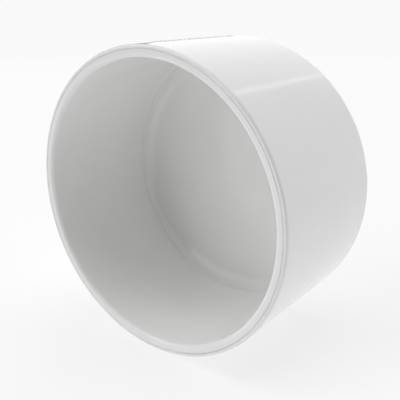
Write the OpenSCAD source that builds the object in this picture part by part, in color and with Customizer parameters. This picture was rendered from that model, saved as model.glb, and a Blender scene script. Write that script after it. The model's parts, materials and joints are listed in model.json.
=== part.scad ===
// Slip cap for a plastic pipe, moulded in one piece.
//
// The cap lies on its side: its axis runs along Y, the open mouth faces -Y and
// the closed end faces +Y. The origin is on the axis at the bottom of the
// socket, where the end of the pipe stops.

/* [Pipe and socket] */
// Outside diameter of the pipe that the cap closes
pipe_d = 114.3; // [100:0.1:125]
// Gap between pipe and socket, measured on the radius
socket_gap = 0.06; // [0.05:0.01:0.3]
// Depth of the socket, from the mouth to the ledge that stops the pipe
socket_depth = 57.15; // [50:0.05:80]

/* [Shell] */
// Thickness of the wall at the mouth
wall = 5; // [4.5:0.1:7]
// Thickness of the closed end
end_wall = 6.5; // [5:0.1:9]
// Draft of the outside wall, in degrees
draft = 0.5; // [0:0.1:1.5]
// Radius of the round between the outside wall and the closed end
end_round = 5.6; // [3:0.1:6.5]
// Radius of the round on the outer edge of the mouth
rim_round = 1; // [0.5:0.1:1]
// Radius of the lead-in round on the inner edge of the mouth
lead_in = 1.7; // [0.8:0.1:2.2]
// Distance of the parting line on the rim from the rim's outer edge
rim_line_in = 1.5; // [1.3:0.05:1.7]
// Width of that line
rim_line_w = 0.5; // [0.3:0.05:0.5]
// Depth of that line
rim_line_depth = 0.45; // [0.1:0.05:0.5]

/* [Socket floor] */
// Width of the ledge that stops the pipe
ledge = 0.6; // [0.5:0.1:2]
// Radius of the fillet between the ledge and the floor, and depth of the floor
floor_fillet = 5.3; // [4:0.1:8]

/* [Moulded marks] */
// Height of the raised bars above the wall
mark_h = 0.4; // [0.3:0.1:0.8]
// Length of a raised bar, round the wall
mark_l = 8; // [4:0.5:12]
// Width of a raised bar, along the wall
mark_w = 3.6; // [2:0.1:4.2]
// Place of the row of bars round the wall, in degrees from +X towards +Z
mark_angle = 97; // [0:1:359]
// Diameter of the shallow recess round the moulding gate
gate_recess_d = 14; // [8:1:20]
// Diameter of the gate stub in the recess
gate_stub_d = 4; // [2:0.5:6]

/* [Hidden] */
$fn = 96;

bore_r = pipe_d / 2 + socket_gap;
rim_r = bore_r + wall;
floor_r = bore_r - ledge;
mouth_y = -socket_depth;
end_y = floor_fillet + end_wall;

gate_recess_depth = 0.8;
gate_stub_h = 0.5;

// The row of bars keeps its share of the socket's depth
mark_groups = [4, 5];
mark_first_y = mouth_y + 0.31 * socket_depth;
mark_pitch = 0.088 * socket_depth;
mark_group_gap = 0.04 * socket_depth;
// How far a bar reaches into the wall that carries it
mark_root = 2;
// How far a cut runs past the face that it opens
past = 1;

// Radius of the drafted outside wall at a height y
function wall_r(y) = rim_r - (y - mouth_y) * tan(draft);

// Centre of a round of radius r that touches the outside wall at a height y
function round_centre(y, r) = [wall_r(y) - r / cos(draft), y];

// The point where that round touches the wall
function round_touch(y, r) = round_centre(y, r) + r * [cos(draft), sin(draft)];

// Half section of the outside: radius across, height along Y
module outside_profile() {
    rim_y = mouth_y + rim_round;
    corner_y = end_y - end_round;
    rim_c = round_centre(rim_y, rim_round);
    corner_c = round_centre(corner_y, end_round);
    polygon([
        [0, mouth_y],
        [rim_c.x, mouth_y],
        rim_c,
        round_touch(rim_y, rim_round),
        round_touch(corner_y, end_round),
        corner_c,
        [corner_c.x, end_y],
        [0, end_y]
    ]);
    translate(rim_c) circle(rim_round);
    translate(corner_c) circle(end_round);
}

// Half section of the rounded lead-in at the mouth, taken out of the wall
module lead_in_profile() {
    difference() {
        translate([0, mouth_y - past]) square([bore_r + lead_in, lead_in + past]);
        translate([bore_r + lead_in, mouth_y + lead_in]) circle(lead_in);
    }
}

// Half section of the narrow V that the parting line leaves on the rim
module rim_line_profile() {
    line_r = rim_r - rim_line_in;
    polygon([
        [line_r - rim_line_w / 2, mouth_y],
        [line_r, mouth_y + rim_line_depth],
        [line_r + rim_line_w / 2, mouth_y],
        [line_r + rim_line_w / 2, mouth_y - past],
        [line_r - rim_line_w / 2, mouth_y - past]
    ]);
}

// Half section of the hollow: the socket, then the floor with its fillet
module hollow_profile() {
    translate([0, mouth_y - past]) square([bore_r, socket_depth + past]);
    square([floor_r - floor_fillet, floor_fillet]);
    intersection() {
        translate([floor_r - floor_fillet, 0]) circle(floor_fillet);
        translate([0, -past]) square([floor_r, floor_fillet + past]);
    }
    lead_in_profile();
}

// Turns a half section round the axis of the cap
module turned() {
    rotate([-90, 0, 0]) rotate_extrude() children();
}

// One raised bar across the wall, at a height y
module raised_bar(y) {
    rotate([0, -mark_angle, 0])
        translate([wall_r(y) - mark_root, y - mark_w / 2, -mark_l / 2])
            cube([mark_root + mark_h, mark_w, mark_l]);
}

// Two groups of plain raised bars along the wall
module raised_marks() {
    for (g = [0 : len(mark_groups) - 1]) {
        bars_before = g == 0 ? 0 : mark_groups[0];
        start_y = mark_first_y + bars_before * mark_pitch + g * mark_group_gap;
        for (k = [0 : mark_groups[g] - 1])
            raised_bar(start_y + k * mark_pitch);
    }
}

// Shallow recess with the stub that the moulding gate leaves
module gate_mark() {
    translate([0, end_y - gate_recess_depth, 0]) rotate([-90, 0, 0])
        difference() {
            cylinder(h = gate_recess_depth + past, d = gate_recess_d);
            translate([0, 0, -past]) cylinder(h = past + gate_stub_h, d = gate_stub_d);
        }
}

module cap_body() {
    color("whitesmoke") difference() {
        union() {
            turned() outside_profile();
            raised_marks();
        }
        turned() hollow_profile();
        turned() rim_line_profile();
        gate_mark();
    }
}

cap_body();
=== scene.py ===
"""The looks of a white plastic pipe cap, built in the frame of its CAD model.

The cap lies on its side: its axis runs along Y and its open mouth faces -Y.
Everything is in metres.
"""
import json
import math

import bmesh
import bpy
from mathutils import Matrix, Vector


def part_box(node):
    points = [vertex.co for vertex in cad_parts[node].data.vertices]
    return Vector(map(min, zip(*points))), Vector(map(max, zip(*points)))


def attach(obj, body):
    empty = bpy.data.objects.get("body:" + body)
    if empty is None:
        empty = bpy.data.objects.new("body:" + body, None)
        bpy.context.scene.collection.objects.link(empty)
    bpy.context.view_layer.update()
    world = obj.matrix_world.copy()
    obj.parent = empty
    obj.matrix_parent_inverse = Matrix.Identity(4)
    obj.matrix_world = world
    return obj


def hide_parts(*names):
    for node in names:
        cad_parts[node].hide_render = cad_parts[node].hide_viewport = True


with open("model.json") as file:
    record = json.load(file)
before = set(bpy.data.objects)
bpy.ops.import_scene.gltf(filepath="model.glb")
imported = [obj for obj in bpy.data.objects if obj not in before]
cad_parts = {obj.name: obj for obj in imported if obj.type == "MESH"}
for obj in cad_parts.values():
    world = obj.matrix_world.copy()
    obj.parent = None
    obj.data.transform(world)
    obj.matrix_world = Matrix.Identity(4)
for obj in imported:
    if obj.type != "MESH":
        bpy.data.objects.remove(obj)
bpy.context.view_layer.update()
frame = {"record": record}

MM = 0.001

# ---------------------------------------------------------------- sizes
low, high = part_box("cap_body")
MOUTH_Y, END_Y = low.y, high.y
RIM_R = high.x
FLOOR_Z = low.z
mounts = {m["name"]: m for m in frame["record"]["mounts"]}
SOCKET_R = mounts["socket"]["dims"]["r_mm"] * MM
# The frame's origin is at the ledge, where the socket ends.
SOCKET_DEPTH = -MOUTH_Y

# A pipe socket narrows from its mouth to its ledge: this much wider and narrower than its mean radius.
SOCKET_TAPER = 0.17 * MM
LEAD_IN = 1.7 * MM
LEDGE = 0.6 * MM
FLOOR_FILLET = 5.3 * MM

DRAFT = math.radians(0.5)
RIM_ROUND = 1.0 * MM
END_ROUND = 5.6 * MM
# The parting line on the rim, and the share of its width that is flat at its bottom.
RIM_LINE_IN, RIM_LINE_W, RIM_LINE_DEPTH = 1.5 * MM, 0.5 * MM, 0.45 * MM
RIM_LINE_FLAT = 0.2

# The small round on the edge of the ledge and on the edges of the gate mark.
EDGE_ROUND = 0.15 * MM
GATE_RECESS_R, GATE_RECESS_DEPTH = 7.0 * MM, 0.8 * MM
GATE_STUB_R, GATE_STUB_H = 2.0 * MM, 0.5 * MM

# Two groups of raised bars, in a row along the wall.
MARK_ANGLE = math.radians(97)
MARK_H, MARK_L, MARK_W = 0.4 * MM, 8.0 * MM, 3.6 * MM
MARK_SLOPE = 0.6 * MM
MARK_GROUPS = (4, 5)
MARK_FIRST_Y = MOUTH_Y + 0.31 * SOCKET_DEPTH
MARK_PITCH = 0.088 * SOCKET_DEPTH
MARK_GROUP_GAP = 0.04 * SOCKET_DEPTH

# ---------------------------------------------------------------- fineness of the mesh
COLUMNS = 192
FLOOR_RINGS = 6
END_RINGS = 5
# Rows of the wall between the rim and the first bar, from the mouth.
FIRST_ROWS = (4 * MM, 8 * MM, 12 * MM)
# Where the slope of a bar has its rows and columns, from its middle, in parts of the slope's width.
SLOPE_ROWS = (-0.5, -0.2, 0.2, 0.5)
# Rows this close to an edge or to a round keep the flat beside it flat when it is shaded smooth.
BY_EDGE = 0.1 * MM
BY_ROUND = 0.3 * MM
# The fillet of the floor stops here, in degrees, and leaves room for the round of the ledge's edge.
FILLET_STOP = 4
# Two radii or two angles that differ by less than this are the same.
SAME_RADIUS = 1e-7
SAME_ANGLE = 1e-5


def wall_r(y):
    """Radius of the drafted outside wall at a height y."""
    return RIM_R - (y - MOUTH_Y) * math.tan(DRAFT)


def mark_heights():
    """The middle of each raised bar, along the wall."""
    out = []
    y = MARK_FIRST_Y
    for count in MARK_GROUPS:
        for _ in range(count):
            out.append(y)
            y += MARK_PITCH
        y += MARK_GROUP_GAP
    return out


def smooth_step(t):
    """Rises smoothly from 0 to 1 while t goes from 0 to 1."""
    t = min(1.0, max(0.0, t))
    return t * t * (3 - 2 * t)


def mark_height(angle, y, bars):
    """How far the wall stands out for the raised bars at this place."""
    across = abs((angle - MARK_ANGLE + math.pi) % (2 * math.pi) - math.pi) * RIM_R
    side = smooth_step((MARK_L / 2 + MARK_SLOPE / 2 - across) / MARK_SLOPE)
    if side == 0:
        return 0.0
    near = min(abs(y - b) for b in bars)
    return MARK_H * side * smooth_step((MARK_W / 2 + MARK_SLOPE / 2 - near) / MARK_SLOPE)


# ---------------------------------------------------------------- the cap's mesh
def arc(r, y, radius, start, end, steps):
    """Points of an arc in the half section, from angle start to end in degrees."""
    out = []
    for k in range(steps + 1):
        a = math.radians(start + (end - start) * k / steps)
        out.append((r + radius * math.cos(a), y + radius * math.sin(a)))
    return out


def line(a, b, steps):
    """Points between a and b, without the ends."""
    return [(a[0] + (b[0] - a[0]) * k / steps, a[1] + (b[1] - a[1]) * k / steps) for k in range(1, steps)]


def hollow_points():
    """Half section of the inside, from the middle of the floor out to the mouth."""
    floor_y = FLOOR_FILLET
    floor_r = SOCKET_R - LEDGE
    fillet_r = floor_r - FLOOR_FILLET
    foot_r = SOCKET_R - SOCKET_TAPER
    mouth_r = SOCKET_R + SOCKET_TAPER
    foot = (foot_r, -BY_EDGE)
    top = (mouth_r, MOUTH_Y + LEAD_IN)
    pts = [(k * fillet_r / FLOOR_RINGS, floor_y) for k in range(1, FLOOR_RINGS)]
    pts += [(fillet_r - BY_ROUND, floor_y)]
    pts += arc(fillet_r, 0, FLOOR_FILLET, 90, FILLET_STOP, steps=14)
    pts += arc(floor_r + EDGE_ROUND, EDGE_ROUND, EDGE_ROUND, 180, 270, steps=3)
    pts += [(foot_r - BY_EDGE, 0.0), foot]
    pts += line(foot, top, steps=12)
    pts += arc(mouth_r + LEAD_IN, MOUTH_Y + LEAD_IN, LEAD_IN, 180, 270, steps=12)
    return pts


def outside_points(bars):
    """Half section of the outside, from the mouth round to the middle of the closed end."""
    tilt = math.degrees(DRAFT)
    rim_y = MOUTH_Y + RIM_ROUND
    corner_y = END_Y - END_ROUND
    rim_c = wall_r(rim_y) - RIM_ROUND / math.cos(DRAFT)
    corner_c = wall_r(corner_y) - END_ROUND / math.cos(DRAFT)
    pts = [(SOCKET_R + SOCKET_TAPER + LEAD_IN + BY_EDGE, MOUTH_Y)]
    pts += rim_line_points()
    pts += arc(rim_c, rim_y, RIM_ROUND, -90, tilt, steps=10)
    pts += [(wall_r(y), y) for y in wall_rows(rim_y, corner_y, bars)]
    pts += arc(corner_c, corner_y, END_ROUND, tilt, 90, steps=16)
    pts += [(corner_c - BY_ROUND, END_Y)]
    for k in range(END_RINGS - 1, 0, -1):
        pts.append((GATE_RECESS_R + k * (corner_c - GATE_RECESS_R) / END_RINGS, END_Y))
    pts += gate_points()
    return pts


def wall_rows(rim_y, corner_y, bars):
    """Heights of the mesh's rows on the outside wall, closer together at the raised bars."""
    rows = [rim_y + BY_ROUND, corner_y - BY_ROUND]
    rows += [MOUTH_Y + up for up in FIRST_ROWS]
    for b in bars:
        for side in (-1, 1):
            rows += [b + side * (MARK_W / 2 + t * MARK_SLOPE) for t in SLOPE_ROWS]
    return sorted(rows)


def rim_line_points():
    """Half section of the narrow V that the parting line leaves on the rim."""
    line_r, half = RIM_R - RIM_LINE_IN, RIM_LINE_W / 2
    bottom_y = MOUTH_Y + RIM_LINE_DEPTH
    return [
        (line_r - half - BY_EDGE, MOUTH_Y),
        (line_r - half, MOUTH_Y),
        (line_r - RIM_LINE_FLAT * half, bottom_y),
        (line_r + RIM_LINE_FLAT * half, bottom_y),
        (line_r + half, MOUTH_Y),
    ]


def gate_points():
    """Half section of the shallow recess at the gate, with the stub that is left in it."""
    recess_y = END_Y - GATE_RECESS_DEPTH
    stub_y = recess_y + GATE_STUB_H
    e = EDGE_ROUND
    pts = [(GATE_RECESS_R + e + BY_EDGE, END_Y)]
    pts += arc(GATE_RECESS_R + e, END_Y - e, e, 90, 180, steps=4)
    pts += arc(GATE_RECESS_R - e, recess_y + e, e, 0, -90, steps=4)
    pts += [(GATE_STUB_R + 2 * e, recess_y)]
    pts += arc(GATE_STUB_R + e, recess_y + e, e, -90, -180, steps=4)
    pts += arc(GATE_STUB_R - e, stub_y - e, e, 0, 90, steps=4)
    return pts


def column_angles():
    """Where the columns of the mesh lie round the axis, closer together at the raised bars."""
    out = [2 * math.pi * k / COLUMNS for k in range(COLUMNS)]
    for side in (-1, 1):
        for t in SLOPE_ROWS:
            out.append(MARK_ANGLE + side * (MARK_L / 2 + t * MARK_SLOPE) / RIM_R)
    out.sort()
    return [a for k, a in enumerate(out) if k == 0 or a - out[k - 1] > SAME_ANGLE]


def make_cap():
    """The moulding as one closed mesh, turned from its half section."""
    bars = mark_heights()
    inside, outside = hollow_points(), outside_points(bars)
    angles = column_angles()
    mesh = bmesh.new()
    rings = []
    for points, is_outside in ((inside, False), (outside, True)):
        for r, y in points:
            on_wall = is_outside and abs(r - wall_r(y)) < SAME_RADIUS
            ring = []
            for a in angles:
                radius = r + (mark_height(a, y, bars) if on_wall else 0.0)
                ring.append(mesh.verts.new((radius * math.cos(a), y, radius * math.sin(a))))
            rings.append(ring)
    count = len(angles)
    for near, far in zip(rings, rings[1:]):
        for k in range(count):
            n = (k + 1) % count
            mesh.faces.new((near[k], near[n], far[n], far[k]))
    for ring, (_, y) in ((rings[0], inside[0]), (rings[-1], outside[-1])):
        middle = mesh.verts.new((0, y, 0))
        for k in range(count):
            mesh.faces.new((middle, ring[k], ring[(k + 1) % count]))
    bmesh.ops.recalc_face_normals(mesh, faces=mesh.faces)
    data = bpy.data.meshes.new("cap_moulding")
    mesh.to_mesh(data)
    mesh.free()
    data.polygons.foreach_set("use_smooth", [True] * len(data.polygons))
    cap = bpy.data.objects.new("cap_moulding", data)
    bpy.context.collection.objects.link(cap)
    return cap


# ---------------------------------------------------------------- materials
# A noise value seldom leaves this range.
NOISE_LOW, NOISE_HIGH = 0.3, 0.7
# The two close whites of the mottle.
WHITE_LOW, WHITE_HIGH = (0.90, 0.90, 0.893, 1), (0.925, 0.925, 0.922, 1)
# Roughness of the plastic with its scuffs, and what the draw marks add to it.
SCUFFED_LOW, SCUFFED_HIGH = 0.07, 0.13
DRAWN_LOW, DRAWN_HIGH = 0.0, 0.04
# Heights of the fine relief.
WAVE_H, DRAW_MARK_H, PEEL_H = 0.006 * MM, 0.0012 * MM, 0.0015 * MM
PVC_IOR = 1.53


def new_material(name):
    """A node material, with its node tree and its main shader."""
    material = bpy.data.materials.new(name)
    material.use_nodes = True
    tree = material.node_tree
    return material, tree, tree.nodes["Principled BSDF"]


def noise_of(tree, scale, detail, along=1.0):
    """A noise texture in the object's own place; along below 1 stretches it along the axis."""
    place = tree.nodes.new("ShaderNodeTexCoord")
    stretch = tree.nodes.new("ShaderNodeMapping")
    stretch.inputs["Scale"].default_value = (1, along, 1)
    texture = tree.nodes.new("ShaderNodeTexNoise")
    texture.inputs["Scale"].default_value = scale
    texture.inputs["Detail"].default_value = detail
    tree.links.new(place.outputs["Object"], stretch.inputs["Vector"])
    tree.links.new(stretch.outputs["Vector"], texture.inputs["Vector"])
    return texture.outputs["Fac"]


def spread(tree, value, low_end, high_end):
    """Maps a noise value to a range."""
    node = tree.nodes.new("ShaderNodeMapRange")
    node.inputs["From Min"].default_value = NOISE_LOW
    node.inputs["From Max"].default_value = NOISE_HIGH
    node.inputs["To Min"].default_value = low_end
    node.inputs["To Max"].default_value = high_end
    tree.links.new(value, node.inputs["Value"])
    return node.outputs["Result"]


def bump_on(tree, value, distance, below=None):
    """A bump from a value, on top of another bump where there is one."""
    node = tree.nodes.new("ShaderNodeBump")
    node.inputs["Strength"].default_value = 1.0
    node.inputs["Distance"].default_value = distance
    tree.links.new(value, node.inputs["Height"])
    if below:
        tree.links.new(below, node.inputs["Normal"])
    return node.outputs["Normal"]


def sum_of(tree, first, second):
    """The sum of two values."""
    node = tree.nodes.new("ShaderNodeMath")
    node.operation = "ADD"
    tree.links.new(first, node.inputs[0])
    tree.links.new(second, node.inputs[1])
    return node.outputs["Value"]


def white_pvc():
    """Glossy white moulded plastic.

    It has a faint mottle, fine marks where it was drawn off the mould along its axis,
    slightly duller scuffs, flow waves and an orange peel.
    """
    material, tree, shader = new_material("white_pvc_moulded")
    mottle = spread(tree, noise_of(tree, scale=28, detail=3), 0, 1)
    draw_marks = noise_of(tree, scale=700, detail=2, along=0.03)
    scuffs = noise_of(tree, scale=60, detail=4)

    mix = tree.nodes.new("ShaderNodeMix")
    mix.data_type = "RGBA"
    mix.inputs["A"].default_value = WHITE_LOW
    mix.inputs["B"].default_value = WHITE_HIGH
    tree.links.new(mottle, mix.inputs["Factor"])
    tree.links.new(mix.outputs["Result"], shader.inputs["Base Color"])

    scuffed = spread(tree, scuffs, SCUFFED_LOW, SCUFFED_HIGH)
    dullness = sum_of(tree, scuffed, spread(tree, draw_marks, DRAWN_LOW, DRAWN_HIGH))
    tree.links.new(dullness, shader.inputs["Roughness"])

    waves = bump_on(tree, noise_of(tree, scale=45, detail=1), WAVE_H)
    drawn = bump_on(tree, draw_marks, DRAW_MARK_H, waves)
    peel = bump_on(tree, noise_of(tree, scale=900, detail=1), PEEL_H, drawn)
    tree.links.new(peel, shader.inputs["Normal"])
    shader.inputs["IOR"].default_value = PVC_IOR
    return material


# ---------------------------------------------------------------- stage and light
FLOOR_RADIUS = 1.2
FLOOR_SIDES = 96
FLOOR_GREY = 0.4
FLOOR_GLOW = 0.6
FLOOR_ROUGHNESS = 0.9
# Brightness of the studio round the table: for light and reflections, and as the camera sees it.
STUDIO_DIM, STUDIO_PALE = 0.05, 0.95
LIGHTS_AWAY = 3.0
LIGHTS_AIM = Vector((0, MOUTH_Y / 2, 0))


def make_floor():
    """One plain pale floor: a round table with a glow of its own, which softens the shadows."""
    table = bmesh.new()
    bmesh.ops.create_circle(table, cap_ends=True, segments=FLOOR_SIDES, radius=FLOOR_RADIUS)
    bmesh.ops.translate(table, verts=table.verts, vec=(0, 0, FLOOR_Z))
    data = bpy.data.meshes.new("floor")
    table.to_mesh(data)
    table.free()
    material, _, shader = new_material("floor_matt")
    shader.inputs["Base Color"].default_value = (FLOOR_GREY, FLOOR_GREY, FLOOR_GREY, 1)
    shader.inputs["Roughness"].default_value = FLOOR_ROUGHNESS
    shader.inputs["Specular IOR Level"].default_value = 0.0
    shader.inputs["Emission Color"].default_value = (1, 1, 1, 1)
    shader.inputs["Emission Strength"].default_value = FLOOR_GLOW
    data.materials.append(material)
    floor = bpy.data.objects.new("floor", data)
    bpy.context.collection.objects.link(floor)


def make_studio():
    """A dim even studio, which looks pale where the camera sees it behind the table."""
    world = bpy.data.worlds.new("studio")
    world.use_nodes = True
    bpy.context.scene.world = world
    tree = world.node_tree
    strength = tree.nodes.new("ShaderNodeMapRange")
    strength.inputs["To Min"].default_value = STUDIO_DIM
    strength.inputs["To Max"].default_value = STUDIO_PALE
    camera_ray = tree.nodes.new("ShaderNodeLightPath").outputs["Is Camera Ray"]
    tree.links.new(camera_ray, strength.inputs["Value"])
    background = tree.nodes["Background"]
    background.inputs["Color"].default_value = (1, 1, 1, 1)
    tree.links.new(strength.outputs["Result"], background.inputs["Strength"])


def soft_box(name, azimuth, elevation, width, height, card, upright=False):
    """A rectangular soft light that faces the cap, or stands upright.

    Azimuth 0 is before the mouth and 90 is on its right. The card value says about how
    bright the light makes a white card that stands at the cap and faces it.
    """
    a, e = math.radians(azimuth), math.radians(elevation)
    direction = Vector((math.sin(a) * math.cos(e), -math.cos(a) * math.cos(e), math.sin(e)))
    data = bpy.data.lights.new(name, "AREA")
    data.shape = "RECTANGLE"
    data.size, data.size_y = width, height
    data.energy = card * (math.pi * LIGHTS_AWAY) ** 2
    light = bpy.data.objects.new(name, data)
    light.location = LIGHTS_AIM + LIGHTS_AWAY * direction
    facing = Vector((direction.x, direction.y, 0)) if upright else direction
    light.rotation_euler = (-facing).to_track_quat("-Z", "Y").to_euler()
    light.visible_camera = False
    bpy.context.collection.objects.link(light)


def make_lights():
    """Five soft lights round the cap and above it."""
    # Light high on the left.
    soft_box("key", -70, 45, 2.2, 2.2, card=0.20)
    # Wide light from the front left: it reaches the right of the socket and its bottom.
    soft_box("front_left", -35, 35, 3.2, 2.6, card=0.43)
    # Overhead light: it lights the floor and the top of the wall.
    soft_box("overhead", 180, 85, 2.4, 2.4, card=0.45)
    # Wide upright panel behind the cap on the right: the outside wall mirrors it.
    soft_box("right_panel", 140, 20, 4.6, 3.6, card=0.60, upright=True)
    # Box behind the cap on the left, next to the panel: the top of the wall mirrors it.
    soft_box("back_box", -158, 20, 2.4, 2.6, card=0.25)


# ---------------------------------------------------------------- camera
# Direction from the mouth towards the camera, in degrees: to the right of its axis, and upwards.
CAMERA_AZIMUTH, CAMERA_ELEVATION = 38.2, 19.1
# Place of the camera from the middle of the mouth, in radii of the rim: back, right and up in its view.
CAMERA_BACK, CAMERA_RIGHT, CAMERA_UP = 3.77, 0.325, 0.055
LENS, SENSOR_WIDTH = 54.3, 36
CLIP_START = 0.01


def make_camera():
    """The camera looks at the mouth from its right and from above."""
    azimuth, elevation = math.radians(CAMERA_AZIMUTH), math.radians(CAMERA_ELEVATION)
    back = Vector((
        math.sin(azimuth) * math.cos(elevation),
        -math.cos(azimuth) * math.cos(elevation),
        math.sin(elevation),
    ))
    right = Vector((math.cos(azimuth), math.sin(azimuth), 0))
    up = back.cross(right)
    mouth = Vector((0, MOUTH_Y, 0))
    place = mouth + RIM_R * (CAMERA_BACK * back + CAMERA_RIGHT * right + CAMERA_UP * up)
    data = bpy.data.cameras.new("camera")
    data.lens = LENS
    data.sensor_width = SENSOR_WIDTH
    data.clip_start = CLIP_START
    camera = bpy.data.objects.new("camera", data)
    camera.matrix_world = Matrix.Translation(place) @ Matrix((right, up, back)).transposed().to_4x4()
    bpy.context.collection.objects.link(camera)
    bpy.context.scene.camera = camera


make_camera()
cap = make_cap()
cap.data.materials.append(white_pvc())
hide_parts("cap_body")
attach(cap, "root")
make_floor()
make_studio()
make_lights()
bpy.context.scene.view_settings.view_transform = "Standard"
